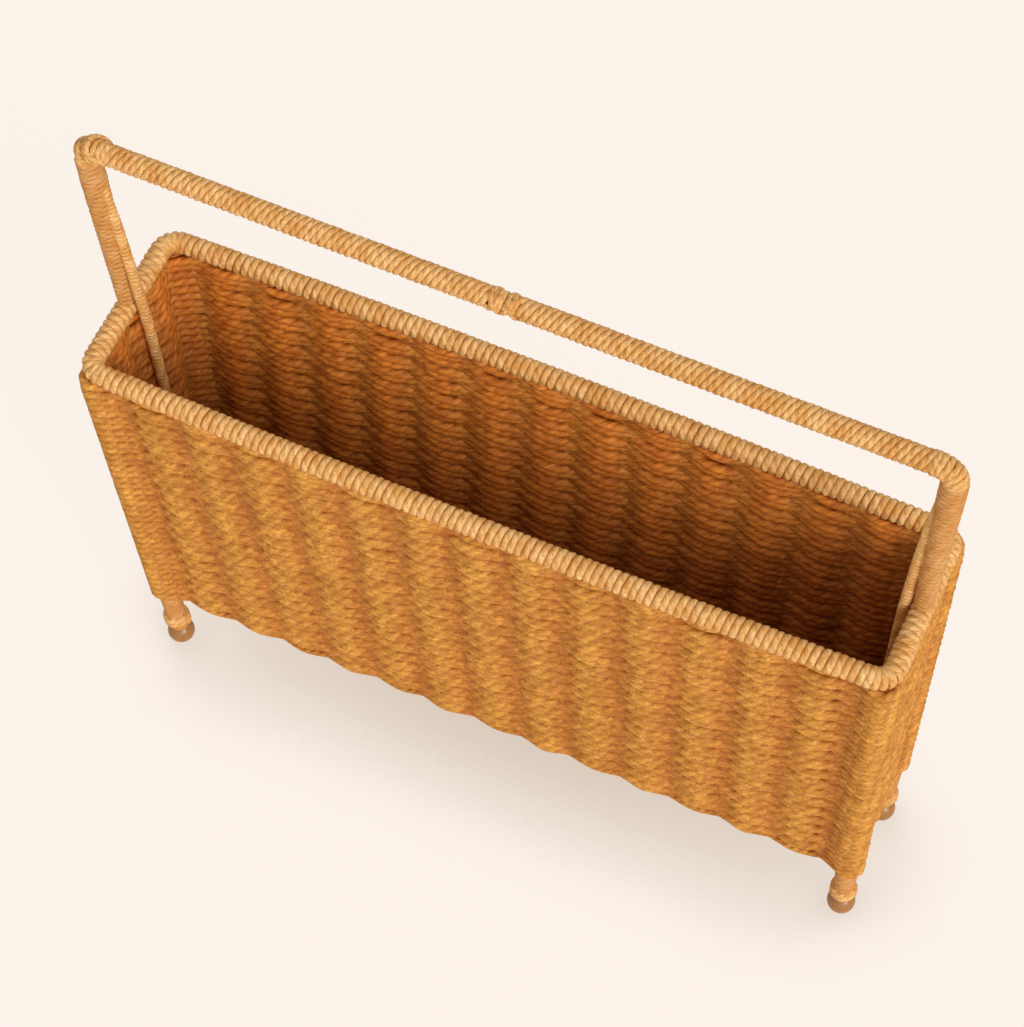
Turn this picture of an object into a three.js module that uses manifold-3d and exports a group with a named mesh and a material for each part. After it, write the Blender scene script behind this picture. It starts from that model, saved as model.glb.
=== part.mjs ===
// A long, narrow magazine basket: a welded rod frame wound with cord, woven walls and a fixed handle.
// Sizes are in millimetres. +Z is up, +X runs along the length, the front faces -Y.
// The origin is on the floor, under the middle of the basket.
import * as THREE from "three";
import { mergeVertices } from "three/addons/utils/BufferGeometryUtils.js";
import Module from "manifold-3d";

// The frame, centre line to centre line.
const rimLength = 480;
const rimWidth = 98;
const rimHeight = 348;
const rimCornerRadius = 10;
const sideBow = 2.7;
const legLeanLengthwise = 6.5;
const legLeanWidthwise = 14.5;
const barHeight = 496;
const handleFlare = 3.3;
const handleBendRadius = 10;
const bendLead = 1;
const panelBottomHeight = 66;

// The rods.
const hoopDiameter = 6;
const handleRodDiameter = 6;
const postDiameter = 8;
const stakeDiameter = 4;
const stayRodDiameter = 3;

// The cord and what is wound with it, each wrap's diameter taken over the cord.
const weftCordDiameter = 4.8;
const rimWrapDiameter = 13.2;
const barWrapDiameter = 13;
const uprightWrapDiameter = 15.2;
const uprightLowerWrapDiameter = 11;
const stayWrapDiameter = 6.8;
const legWrapDiameter = 15.6;
const leftKnotDiameter = 16.4;
const rightKnotDiameter = 14;
const spliceDiameter = 14.2;
const spliceLength = 18;
const ribPitch = 12;
const ribDepth = 0.9;
const stayRiseShare = 0.56;
const stayHeadClearance = 3;
const stayEndClearance = 3;

// The collar of thicker cord above each foot, and the turned ball.
const collarCordDiameter = 4.6;
const collarTurns = 2;
const collarCordGap = 0.6;
const ballDiameter = 17.8;
const ballFlatDepth = 0.5;

// The woven walls and base: cord in front of and behind each stake.
const longSideStakes = 13;
const endStakes = 3;
const valleyHalfThickness = 3.5;
const cornerHalfThickness = 8.2;
const baseBendRadius = 6;
const endStakeClearance = 2;

// Fits.
const touchGap = 0.3;
const slideClearance = 0.35;

// How finely round shapes are drawn.
const tubeSides = 8;
const stakeSides = 6;
const coilSides = 6;
const coilSteps = 14;
const bendSteps = 4;
const sideSteps = 12;
const waveSteps = 4;
const ballSides = 14;
const ballRings = 7;
const fewestRibs = 2;
const tangentShare = 0.005;
const halfSpacing = 0.5;

// Values worked out from the sizes above.
const diagonalShare = 1 - Math.SQRT1_2;
const postTop = new THREE.Vector3(
  rimLength / 2 - rimCornerRadius * diagonalShare,
  rimWidth / 2 - rimCornerRadius * diagonalShare,
  rimHeight - hoopDiameter / 2 - touchGap,
);
const ballHeight = ballDiameter / 2 - ballFlatDepth;
const postFoot = new THREE.Vector3(
  rimLength / 2 - legLeanLengthwise,
  rimWidth / 2 - legLeanWidthwise,
  ballHeight,
);
const ballTop = ballHeight + ballDiameter / 2;
const collarPitch = collarCordDiameter + collarCordGap;
const collarHeight = collarTurns * collarPitch + collarCordDiameter;
const collarBottom = ballTop - ballFlatDepth;
const legWrapBottom = collarBottom + collarHeight + touchGap;
const panelTopHeight = rimHeight - rimWrapDiameter / 2 - touchGap;
const crestHalfThickness = stakeDiameter / 2 + weftCordDiameter;
const baseHeight = panelBottomHeight + crestHalfThickness;
const uprightFoot = new THREE.Vector3(rimLength / 2, 0, rimHeight + hoopDiameter / 2 + touchGap);
const uprightTop = new THREE.Vector3(rimLength / 2 + handleFlare, 0, barHeight);
const stayHeadHeight = THREE.MathUtils.lerp(uprightFoot.z, uprightTop.z, stayRiseShare);

const cordMaterial = new THREE.MeshStandardMaterial({ color: "#c98f45", roughness: 0.85, metalness: 0 });
const weaveMaterial = new THREE.MeshStandardMaterial({ color: "#b87a35", roughness: 0.9, metalness: 0 });
const rodMaterial = new THREE.MeshStandardMaterial({ color: "#6d6b68", roughness: 0.45, metalness: 1 });
const ballMaterial = new THREE.MeshStandardMaterial({ color: "#a8693a", roughness: 0.5, metalness: 0 });

const wasm = await Module();
wasm.setup();

const basket = new THREE.Group();
basket.name = "magazine_basket";

function addPiece(name, geometry, material) {
  const piece = new THREE.Mesh(geometry, material);
  piece.name = name;
  basket.add(piece);
}

// A closed mesh as a solid that can be joined and cut.
function solidOf(geometry) {
  const bare = geometry.clone();
  bare.deleteAttribute("normal");
  bare.deleteAttribute("uv");
  const merged = mergeVertices(bare);
  const mesh = new wasm.Mesh({
    numProp: 3,
    vertProperties: merged.attributes.position.array,
    triVerts: new Uint32Array(merged.index.array),
  });
  return new wasm.Manifold(mesh);
}

function geometryOf(solid) {
  const mesh = solid.getMesh();
  const geometry = new THREE.BufferGeometry();
  const places = new Float32Array(mesh.numVert * 3);
  for (let i = 0; i < mesh.numVert; i++) {
    const start = i * mesh.numProp;
    places.set(mesh.vertProperties.subarray(start, start + 3), i * 3);
  }
  geometry.setAttribute("position", new THREE.BufferAttribute(places, 3));
  geometry.setIndex(new THREE.BufferAttribute(mesh.triVerts, 1));
  geometry.computeVertexNormals();
  return geometry;
}

function cut(geometry, cutters) {
  let solid = solidOf(geometry);
  for (const cutter of cutters) solid = solid.subtract(solidOf(cutter));
  return geometryOf(solid);
}

// The points of a round ring about a centre, in the plane of two directions.
function ringAt(station, radius, sides) {
  const points = [];
  for (let i = 0; i < sides; i++) {
    const angle = ((i + 0.5) / sides) * 2 * Math.PI;
    const point = station.centre.clone();
    point.addScaledVector(station.side, Math.cos(angle) * radius);
    point.addScaledVector(station.up, Math.sin(angle) * radius);
    points.push(point);
  }
  return points;
}

// Stations along a path that lies in, or close to, the plane of the given normal.
function stationsAlong(path, normal) {
  return path.map((centre, i) => {
    const before = path[Math.max(i - 1, 0)];
    const after = path[Math.min(i + 1, path.length - 1)];
    const ahead = after.clone().sub(before).normalize();
    const up = new THREE.Vector3().crossVectors(normal, ahead).normalize();
    const side = new THREE.Vector3().crossVectors(ahead, up).normalize();
    return { centre, side, up };
  });
}

function pushQuads(index, from, to, sides) {
  for (let i = 0; i < sides; i++) {
    const next = (i + 1) % sides;
    index.push(from + i, from + next, to + next);
    index.push(from + i, to + next, to + i);
  }
}

function geometryFrom(points, index) {
  const geometry = new THREE.BufferGeometry();
  geometry.setFromPoints(points);
  geometry.setIndex(index);
  const outward = solidVolume(points, index) > 0;
  if (!outward) {
    for (let i = 0; i < index.length; i += 3) [index[i], index[i + 1]] = [index[i + 1], index[i]];
    geometry.setIndex(index);
  }
  geometry.computeVertexNormals();
  return geometry;
}

function solidVolume(points, index) {
  let sum = 0;
  for (let i = 0; i < index.length; i += 3) {
    const [a, b, c] = [points[index[i]], points[index[i + 1]], points[index[i + 2]]];
    sum += a.dot(new THREE.Vector3().crossVectors(b, c));
  }
  return sum;
}

// A closed solid through rings of equal count, flat at both ends.
function solidThrough(rings) {
  const sides = rings[0].length;
  const points = rings.flat();
  const index = [];
  for (let r = 0; r + 1 < rings.length; r++) pushQuads(index, r * sides, (r + 1) * sides, sides);
  const last = (rings.length - 1) * sides;
  for (let i = 1; i + 1 < sides; i++) {
    index.push(0, i + 1, i);
    index.push(last, last + i, last + i + 1);
  }
  return geometryFrom(points, index);
}

// A tube with a bore: outer rings one way, bore rings back, flat ends between them.
function sleeveThrough(outerRings, boreRings) {
  const sides = outerRings[0].length;
  const loops = [...outerRings, ...[...boreRings].reverse()];
  const points = loops.flat();
  const index = [];
  for (let r = 0; r < loops.length; r++) {
    pushQuads(index, r * sides, ((r + 1) % loops.length) * sides, sides);
  }
  return geometryFrom(points, index);
}

// A plain rod along a path.
function rodAlong(path, diameter, normal, sides = tubeSides) {
  const rings = stationsAlong(path, normal).map((station) => ringAt(station, diameter / 2, sides));
  return solidThrough(rings);
}

// Cord wound closely over a rod: each rib stands for a few turns, and the bore clears the rod.
// The outer diameter is a function of the share of the path's length.
function windingAlong(path, normal, outerDiameterAt, rodDiameter) {
  const line = new THREE.CurvePath();
  for (let i = 0; i + 1 < path.length; i++) line.add(new THREE.LineCurve3(path[i], path[i + 1]));
  const ribs = Math.max(fewestRibs, Math.round(line.getLength() / ribPitch));
  const outer = [];
  for (let i = 0; i <= ribs * 2; i++) {
    const share = i / (ribs * 2);
    const before = line.getPointAt(Math.max(share - tangentShare, 0));
    const after = line.getPointAt(Math.min(share + tangentShare, 1));
    const station = stationsAlong([before, after], normal)[0];
    station.centre = line.getPointAt(share);
    outer.push(ringAt(station, outerDiameterAt(share) / 2 - (i % 2 ? 0 : ribDepth), tubeSides));
  }
  const boreRadius = rodDiameter / 2 + slideClearance;
  const bore = stationsAlong(path, normal).map((station) => ringAt(station, boreRadius, tubeSides));
  return sleeveThrough(outer, bore);
}

// The same diameter all along a winding.
function constant(diameter) {
  return () => diameter;
}

// Points round the bend between two directions that meet at a corner, with a short straight lead each way.
function bendPoints(before, corner, after, radius) {
  const inward = before.clone().sub(corner).normalize();
  const outward = after.clone().sub(corner).normalize();
  const half = Math.acos(THREE.MathUtils.clamp(inward.dot(outward), -1, 1)) / 2;
  const reach = radius / Math.tan(half);
  const middle = corner.clone().addScaledVector(inward.clone().add(outward).normalize(), radius / Math.sin(half));
  const start = corner.clone().addScaledVector(inward, reach).sub(middle);
  const end = corner.clone().addScaledVector(outward, reach).sub(middle);
  const sweep = start.angleTo(end);
  const points = [corner.clone().addScaledVector(inward, reach + bendLead)];
  for (let i = 0; i <= bendSteps; i++) {
    const t = i / bendSteps;
    const a = Math.sin((1 - t) * sweep) / Math.sin(sweep);
    const b = Math.sin(t * sweep) / Math.sin(sweep);
    points.push(middle.clone().addScaledVector(start, a).addScaledVector(end, b));
  }
  points.push(corner.clone().addScaledVector(outward, reach + bendLead));
  return points;
}

// The axis of a corner post at a height, for the corner with the given signs.
function postAt(height, sx, sy) {
  const share = (postTop.z - height) / (postTop.z - postFoot.z);
  const x = THREE.MathUtils.lerp(postTop.x, postFoot.x, share);
  const y = THREE.MathUtils.lerp(postTop.y, postFoot.y, share);
  return new THREE.Vector3(sx * x, sy * y, height);
}

// How far the long sides of the rim run before their corners start.
const halfStraight = rimLength / 2 - rimCornerRadius - bendLead;

// The rim's centre line along a long side, bowed out in the middle.
function longSidePoints(sy, fromX, toX) {
  const points = [];
  for (let i = 0; i <= sideSteps; i++) {
    const x = THREE.MathUtils.lerp(fromX, toX, i / sideSteps);
    const share = 1 - (x / halfStraight) ** 2;
    points.push(new THREE.Vector3(x, sy * (rimWidth / 2 + sideBow * share), rimHeight));
  }
  return points;
}

// One rim corner, from the long side to the end.
function rimCornerPoints(sx, sy) {
  const corner = new THREE.Vector3((sx * rimLength) / 2, (sy * rimWidth) / 2, rimHeight);
  const alongSide = corner.clone().setX(0);
  const alongEnd = corner.clone().setY(0);
  return bendPoints(alongSide, corner, alongEnd, rimCornerRadius);
}

const skyward = new THREE.Vector3(0, 0, 1);
const lengthward = new THREE.Vector3(1, 0, 0);
const widthward = new THREE.Vector3(0, 1, 0);

function addRimHoop() {
  const path = [
    ...longSidePoints(-1, -halfStraight, halfStraight).slice(0, -1),
    ...rimCornerPoints(1, -1),
    ...rimCornerPoints(1, 1).reverse(),
    ...longSidePoints(1, halfStraight, -halfStraight).slice(1, -1),
    ...rimCornerPoints(-1, 1),
    ...rimCornerPoints(-1, -1).reverse().slice(0, -1),
  ];
  const closed = [path[path.length - 1], ...path, path[0]];
  const rings = stationsAlong(closed, skyward)
    .slice(1, -1)
    .map((station) => ringAt(station, hoopDiameter / 2, tubeSides));
  const points = rings.flat();
  const index = [];
  for (let r = 0; r < rings.length; r++) {
    pushQuads(index, r * tubeSides, ((r + 1) % rings.length) * tubeSides, tubeSides);
  }
  addPiece("rim_hoop", geometryFrom(points, index), rodMaterial);
}

function addRimWraps() {
  for (const [name, sy] of [["front", -1], ["back", 1]]) {
    const reach = halfStraight - touchGap;
    const path = longSidePoints(sy, -reach, reach);
    const wrap = windingAlong(path, skyward, constant(rimWrapDiameter), hoopDiameter);
    addPiece("rim_wrap_" + name, wrap, cordMaterial);
  }
  for (const [name, sx] of [["left", -1], ["right", 1]]) {
    const path = [...rimCornerPoints(sx, -1), ...rimCornerPoints(sx, 1).reverse()];
    const wrap = windingAlong(path, skyward, constant(rimWrapDiameter), hoopDiameter);
    const cutters = [postRod(sx, -1, slideClearance), postRod(sx, 1, slideClearance), handleFootCutter(sx)];
    addPiece("rim_wrap_" + name, cut(wrap, cutters), cordMaterial);
  }
}

function postRod(sx, sy, clearance) {
  const path = [postAt(postTop.z + clearance, sx, sy), postAt(postFoot.z - clearance, sx, sy)];
  return rodAlong(path, postDiameter + clearance * 2, lengthward);
}

// The hole that the foot of an upright needs in the cord on the rim.
function handleFootCutter(sx) {
  const foot = uprightFoot.clone().setX(sx * uprightFoot.x);
  const above = foot.clone().setZ(foot.z + rimWrapDiameter);
  const below = foot.clone().setZ(foot.z - touchGap);
  return rodAlong([below, above], handleRodDiameter + slideClearance * 2 + touchGap * 2, widthward);
}

function addPosts() {
  for (const [name, sx, sy] of corners) addPiece("corner_post_" + name, postRod(sx, sy, 0), rodMaterial);
}

const corners = [
  ["front_left", -1, -1],
  ["front_right", 1, -1],
  ["back_left", -1, 1],
  ["back_right", 1, 1],
];

function addLegWraps() {
  for (const [name, sx, sy] of corners) {
    const path = [postAt(legWrapBottom, sx, sy), postAt(panelBottomHeight - touchGap, sx, sy)];
    const wrap = windingAlong(path, lengthward, constant(legWrapDiameter), postDiameter);
    addPiece("leg_wrap_" + name, wrap, cordMaterial);
  }
}

// Two turns of thicker cord wound round the post, one unbroken tube.
function collarPath(sx, sy) {
  const radius = postDiameter / 2 + slideClearance + collarCordDiameter / 2;
  const points = [];
  const steps = coilSteps * collarTurns;
  for (let i = 0; i <= steps; i++) {
    const angle = (i / coilSteps) * 2 * Math.PI;
    const height = collarBottom + collarCordDiameter / 2 + touchGap + (i / coilSteps) * collarPitch;
    const centre = postAt(height, sx, sy);
    points.push(centre.add(new THREE.Vector3(Math.cos(angle) * radius, Math.sin(angle) * radius, 0)));
  }
  return points;
}

function leastSelfGap(path, diameter) {
  let least = Infinity;
  for (let i = 0; i < path.length; i++) {
    for (let j = i + coilSteps / 2; j < path.length; j++) {
      least = Math.min(least, path[i].distanceTo(path[j]) - diameter);
    }
  }
  return least;
}

function addCollars() {
  for (const [name, sx, sy] of corners) {
    const path = collarPath(sx, sy);
    addPiece("leg_collar_" + name, rodAlong(path, collarCordDiameter, skyward, coilSides), cordMaterial);
    console.log("leg_collar_" + name + " least gap to itself", leastSelfGap(path, collarCordDiameter).toFixed(2));
  }
}

// A turned ball, cut flat where it stands and bored for the post.
function addBalls() {
  const radius = ballDiameter / 2;
  const profile = [new THREE.Vector2(0, -ballHeight)];
  const flat = Math.asin(ballHeight / radius);
  for (let i = 0; i < ballRings; i++) {
    const angle = THREE.MathUtils.lerp(-flat, Math.PI / 2, i / ballRings);
    profile.push(new THREE.Vector2(Math.cos(angle) * radius, Math.sin(angle) * radius));
  }
  profile.push(new THREE.Vector2(0, radius));
  for (const [name, sx, sy] of corners) {
    const ball = new THREE.LatheGeometry(profile, ballSides);
    ball.rotateX(Math.PI / 2);
    const place = postAt(ballHeight, sx, sy);
    ball.translate(place.x, place.y, place.z);
    addPiece("ball_foot_" + name, cut(ball, [postRod(sx, sy, slideClearance)]), ballMaterial);
  }
}

// Half the thickness of the weave at a place counted in stake spacings from the first post:
// round the posts at each end, thick over each stake and thin between them.
function halfThicknessAt(place, lastPlace, spacing) {
  const fromPost = Math.min(place, lastPlace - place);
  if (fromPost < halfSpacing) {
    const reach = Math.min(fromPost * spacing, cornerHalfThickness);
    return Math.max(valleyHalfThickness, Math.sqrt(cornerHalfThickness ** 2 - reach ** 2));
  }
  return valleyHalfThickness + (crestHalfThickness - valleyHalfThickness) * Math.cos(Math.PI * place) ** 2;
}

// The middle of a long wall at a stake spacing, at its bottom or its top edge.
function longWallMiddle(place, sy, atTop) {
  const spacings = longSideStakes + 1;
  const height = atTop ? panelTopHeight : panelBottomHeight;
  const post = postAt(height, 1, 1);
  const share = place / spacings;
  const bow = atTop ? rimWidth / 2 + sideBow - post.y : 0;
  const y = post.y + bow * 4 * share * (1 - share);
  return new THREE.Vector3(THREE.MathUtils.lerp(-post.x, post.x, share), sy * y, height);
}

function longWallOutline(sy, atTop) {
  const spacings = longSideStakes + 1;
  const outer = [];
  const inner = [];
  for (let i = 0; i <= spacings * waveSteps; i++) {
    const place = i / waveSteps;
    const middle = longWallMiddle(place, sy, atTop);
    const half = halfThicknessAt(place, spacings, rimLength / spacings);
    outer.push(middle.clone().add(new THREE.Vector3(0, sy * half, 0)));
    inner.push(middle.clone().add(new THREE.Vector3(0, -sy * half, 0)));
  }
  const capAt = (place, sx) => {
    const middle = longWallMiddle(place, sy, atTop);
    const points = [];
    for (let i = 1; i < bendSteps; i++) {
      const angle = (i / bendSteps) * Math.PI;
      const x = sx * Math.sin(angle) * cornerHalfThickness;
      const y = sy * Math.cos(angle) * cornerHalfThickness;
      points.push(middle.clone().add(new THREE.Vector3(x, y, 0)));
    }
    return points;
  };
  return [...outer, ...capAt(spacings, 1), ...inner.reverse(), ...capAt(0, -1).reverse()];
}

// A solid between two flat outlines of equal count, bottom and top.
function solidBetween(bottomOutline, topOutline) {
  const flatOf = (outline) => outline.map((point) => new THREE.Vector2(point.x, point.y));
  const clockwise = THREE.ShapeUtils.isClockWise(flatOf(bottomOutline));
  const bottom = clockwise ? [...bottomOutline].reverse() : bottomOutline;
  const top = clockwise ? [...topOutline].reverse() : topOutline;
  const count = bottom.length;
  const index = [];
  pushQuads(index, 0, count, count);
  for (const [a, b, c] of THREE.ShapeUtils.triangulateShape(flatOf(bottom), [])) {
    index.push(a, c, b);
    index.push(count + a, count + b, count + c);
  }
  return geometryFrom([...bottom, ...top], index);
}

// A stake that runs down the front wall, across the base and up the back wall.
function crossStake(number, clearance) {
  const frontTop = longWallMiddle(number, -1, true);
  const frontLow = longWallMiddle(number, -1, false);
  const along = (middleTop, middleLow, height) => {
    const share = (height - panelBottomHeight) / (panelTopHeight - panelBottomHeight);
    return new THREE.Vector3().lerpVectors(middleLow, middleTop, share);
  };
  const top = along(frontTop, frontLow, panelTopHeight - touchGap + clearance * 2);
  const corner = along(frontTop, frontLow, baseHeight);
  const bend = bendPoints(top, corner, corner.clone().setY(0), baseBendRadius);
  const half = [top, ...bend];
  const mirrored = half.map((point) => point.clone().setY(-point.y)).reverse();
  return rodAlong([...half, ...mirrored], stakeDiameter + clearance * 2, lengthward, stakeSides);
}

function numberName(number) {
  return String(number).padStart(2, "0");
}

function stakeNumbers(count) {
  return Array.from({ length: count }, (_, i) => i + 1);
}

function addCrossStakes() {
  for (const number of stakeNumbers(longSideStakes)) {
    addPiece("cross_stake_" + numberName(number), crossStake(number, 0), rodMaterial);
  }
}

function addLongPanels() {
  const cutters = stakeNumbers(longSideStakes).map((number) => crossStake(number, slideClearance));
  for (const [name, sy] of [["front", -1], ["back", 1]]) {
    const wall = solidBetween(longWallOutline(sy, false), longWallOutline(sy, true));
    const posts = [postRod(-1, sy, slideClearance), postRod(1, sy, slideClearance)];
    addPiece("woven_panel_" + name, cut(wall, [...cutters, ...posts]), weaveMaterial);
  }
}

// The middle of an end wall at a stake spacing, at its bottom or its top edge.
function endWallMiddle(place, sx, atTop) {
  const spacings = endStakes + 1;
  const height = atTop ? panelTopHeight : panelBottomHeight;
  const post = postAt(height, 1, 1);
  const share = place / spacings;
  const bow = atTop ? rimLength / 2 - post.x : 0;
  const x = post.x + bow * 4 * share * (1 - share);
  return new THREE.Vector3(sx * x, THREE.MathUtils.lerp(-post.y, post.y, share), height);
}

function endWallOutline(sx, atTop) {
  const spacings = endStakes + 1;
  const height = atTop ? panelTopHeight : panelBottomHeight;
  const spacing = (postAt(height, 1, 1).y * 2) / spacings;
  const start = (cornerHalfThickness + touchGap) / spacing;
  const places = [start];
  for (let i = waveSteps / 2; i <= (spacings - halfSpacing) * waveSteps; i++) places.push(i / waveSteps);
  places.push(spacings - start);
  const outer = [];
  const inner = [];
  for (const place of places) {
    const middle = endWallMiddle(place, sx, atTop);
    const nearest = THREE.MathUtils.clamp(place, halfSpacing, spacings - halfSpacing);
    const half = halfThicknessAt(nearest, spacings, spacing);
    outer.push(middle.clone().add(new THREE.Vector3(sx * half, 0, 0)));
    inner.push(middle.clone().add(new THREE.Vector3(-sx * half, 0, 0)));
  }
  return [...outer, ...inner.reverse()];
}

function endStake(number, sx, clearance) {
  const top = endWallMiddle(number, sx, true);
  const low = endWallMiddle(number, sx, false);
  const depth = panelTopHeight - panelBottomHeight;
  const path = [
    new THREE.Vector3().lerpVectors(low, top, 1 - (touchGap - clearance * 2) / depth),
    new THREE.Vector3().lerpVectors(low, top, (endStakeClearance - clearance) / depth),
  ];
  return rodAlong(path, stakeDiameter + clearance * 2, lengthward, stakeSides);
}

function addEndWalls() {
  for (const [name, sx] of [["left", -1], ["right", 1]]) {
    const wall = solidBetween(endWallOutline(sx, false), endWallOutline(sx, true));
    const cutters = stakeNumbers(endStakes).map((number) => endStake(number, sx, slideClearance));
    addPiece("woven_panel_" + name, cut(wall, cutters), weaveMaterial);
    for (const number of stakeNumbers(endStakes)) {
      addPiece("end_stake_" + name + "_" + number, endStake(number, sx, 0), rodMaterial);
    }
  }
}

// The woven base, between the walls, with the cross stakes running through it.
function addBase() {
  const spacings = longSideStakes + 1;
  const post = postAt(panelBottomHeight, 1, 1);
  const halfLength = post.x - crestHalfThickness - touchGap;
  const halfWidth = post.y - crestHalfThickness - touchGap;
  const places = [];
  for (let i = 0; i <= spacings * waveSteps; i++) {
    const x = THREE.MathUtils.lerp(-post.x, post.x, i / (spacings * waveSteps));
    if (Math.abs(x) < halfLength) places.push([x, i / waveSteps]);
  }
  places.unshift([-halfLength, halfSpacing]);
  places.push([halfLength, spacings - halfSpacing]);
  const lower = [];
  const upper = [];
  for (const [x, place] of places) {
    const nearest = THREE.MathUtils.clamp(place, halfSpacing, spacings - halfSpacing);
    const half = halfThicknessAt(nearest, spacings, rimLength / spacings);
    lower.push(new THREE.Vector2(x, baseHeight - half));
    upper.push(new THREE.Vector2(x, baseHeight + half));
  }
  const outline = new THREE.Shape([...lower, ...upper.reverse()]);
  const base = new THREE.ExtrudeGeometry(outline, { depth: halfWidth * 2, bevelEnabled: false, steps: 1 });
  base.rotateX(Math.PI / 2);
  base.translate(0, halfWidth, 0);
  const cutters = stakeNumbers(longSideStakes).map((number) => crossStake(number, slideClearance));
  const postGaps = corners.map(([, sx, sy]) => {
    return postRod(sx, sy, cornerHalfThickness + touchGap - postDiameter / 2);
  });
  addPiece("woven_base", cut(base, [...cutters, ...postGaps]), weaveMaterial);
}

// The handle's centre line: up the left side, along the bar and down the right side.
function handleCorners() {
  const rightFoot = uprightFoot.clone();
  const leftFoot = rightFoot.clone().setX(-rightFoot.x);
  const rightTop = uprightTop.clone();
  const leftTop = rightTop.clone().setX(-rightTop.x);
  return { leftFoot, leftTop, rightTop, rightFoot };
}

function handleBend(sx) {
  const { leftFoot, leftTop, rightTop, rightFoot } = handleCorners();
  if (sx < 0) return bendPoints(leftFoot, leftTop, rightTop, handleBendRadius);
  return bendPoints(leftTop, rightTop, rightFoot, handleBendRadius);
}

function addHandleRod() {
  const { leftFoot, rightFoot } = handleCorners();
  const path = [leftFoot, ...handleBend(-1), ...handleBend(1), rightFoot];
  addPiece("handle_rod", rodAlong(path, handleRodDiameter, widthward), rodMaterial);
}

// A place on the upright's centre line at a height.
function uprightAt(height, sx) {
  const share = (height - uprightFoot.z) / (uprightTop.z - uprightFoot.z);
  return new THREE.Vector3(sx * THREE.MathUtils.lerp(uprightFoot.x, uprightTop.x, share), 0, height);
}

// The winding on an upright is thinner beside the stay and fuller above it.
function uprightWinding(bottom, top, sx) {
  const stepShare = (stayHeadHeight + stayHeadClearance - bottom) / (top - bottom);
  const diameterAt = (share) => (share < stepShare ? uprightLowerWrapDiameter : uprightWrapDiameter);
  return windingAlong([uprightAt(bottom, sx), uprightAt(top, sx)], widthward, diameterAt, handleRodDiameter);
}

function addHandleWraps() {
  const wrap = (name, path, diameter) => {
    addPiece(name, windingAlong(path, widthward, constant(diameter), handleRodDiameter), cordMaterial);
  };
  const wrapBottom = rimHeight + rimWrapDiameter / 2 + touchGap;
  for (const [name, sx, knot] of [["left", -1, leftKnotDiameter], ["right", 1, rightKnotDiameter]]) {
    const bend = handleBend(sx);
    const low = sx < 0 ? bend[0] : bend[bend.length - 1];
    const winding = uprightWinding(wrapBottom, low.z - touchGap, sx);
    addPiece("handle_upright_wrap_" + name, winding, cordMaterial);
    wrap("handle_corner_wrap_" + name, bend, knot);
    const barEnd = sx < 0 ? bend[bend.length - 1] : bend[0];
    const splice = new THREE.Vector3((sx * spliceLength) / 2 + sx * touchGap, 0, barHeight);
    const barStart = barEnd.clone().setX(barEnd.x - sx * touchGap);
    wrap("handle_bar_wrap_" + name, [barStart, splice], barWrapDiameter);
  }
  const half = spliceLength / 2;
  const splicePath = [new THREE.Vector3(-half, 0, barHeight), new THREE.Vector3(half, 0, barHeight)];
  wrap("handle_splice_wrap", splicePath, spliceDiameter);
}

// The inner stay beside each upright, which goes on down the inside of the end wall.
function stayPath(sx) {
  const offset = uprightLowerWrapDiameter / 2 + touchGap + stayWrapDiameter / 2;
  const wallOffset = crestHalfThickness + touchGap + stayWrapDiameter / 2;
  const high = uprightAt(stayHeadHeight, sx);
  const knee = uprightAt(rimHeight + rimWrapDiameter, sx);
  const under = endWallMiddle((endStakes + 1) / 2, sx, true);
  const low = endWallMiddle((endStakes + 1) / 2, sx, false);
  const floor = baseHeight + crestHalfThickness + stayEndClearance;
  const share = (floor - panelBottomHeight) / (panelTopHeight - panelBottomHeight);
  const wallTopShare = 1 - rimWrapDiameter / (panelTopHeight - panelBottomHeight);
  const below = new THREE.Vector3().lerpVectors(low, under, wallTopShare);
  const end = new THREE.Vector3().lerpVectors(low, under, share);
  return [
    high.setX(high.x - sx * offset),
    knee.setX(knee.x - sx * offset),
    below.setX(below.x - sx * wallOffset),
    end.setX(end.x - sx * wallOffset),
  ];
}

function addStays() {
  for (const [name, sx] of [["left", -1], ["right", 1]]) {
    const path = stayPath(sx);
    addPiece("handle_stay_rod_" + name, rodAlong(path, stayRodDiameter, widthward), rodMaterial);
    const stations = stationsAlong(path, widthward);
    const outer = stations.map((station) => ringAt(station, stayWrapDiameter / 2, tubeSides));
    const bore = stations.map((station) => ringAt(station, stayRodDiameter / 2 + slideClearance, tubeSides));
    addPiece("handle_stay_wrap_" + name, sleeveThrough(outer, bore), cordMaterial);
  }
}

addRimHoop();
addRimWraps();
addPosts();
addLegWraps();
addCollars();
addBalls();
addCrossStakes();
addLongPanels();
addEndWalls();
addBase();
addHandleRod();
addHandleWraps();
addStays();

export default basket;
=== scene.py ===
# A magazine basket of twisted natural cord: wound rim and handle, woven walls, legs on turned balls.
# Places and sizes are written in millimetres, as in the CAD model, and MM turns them to metres.
import math

import bmesh
import bpy
import numpy as np
from mathutils import Matrix, Vector


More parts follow.
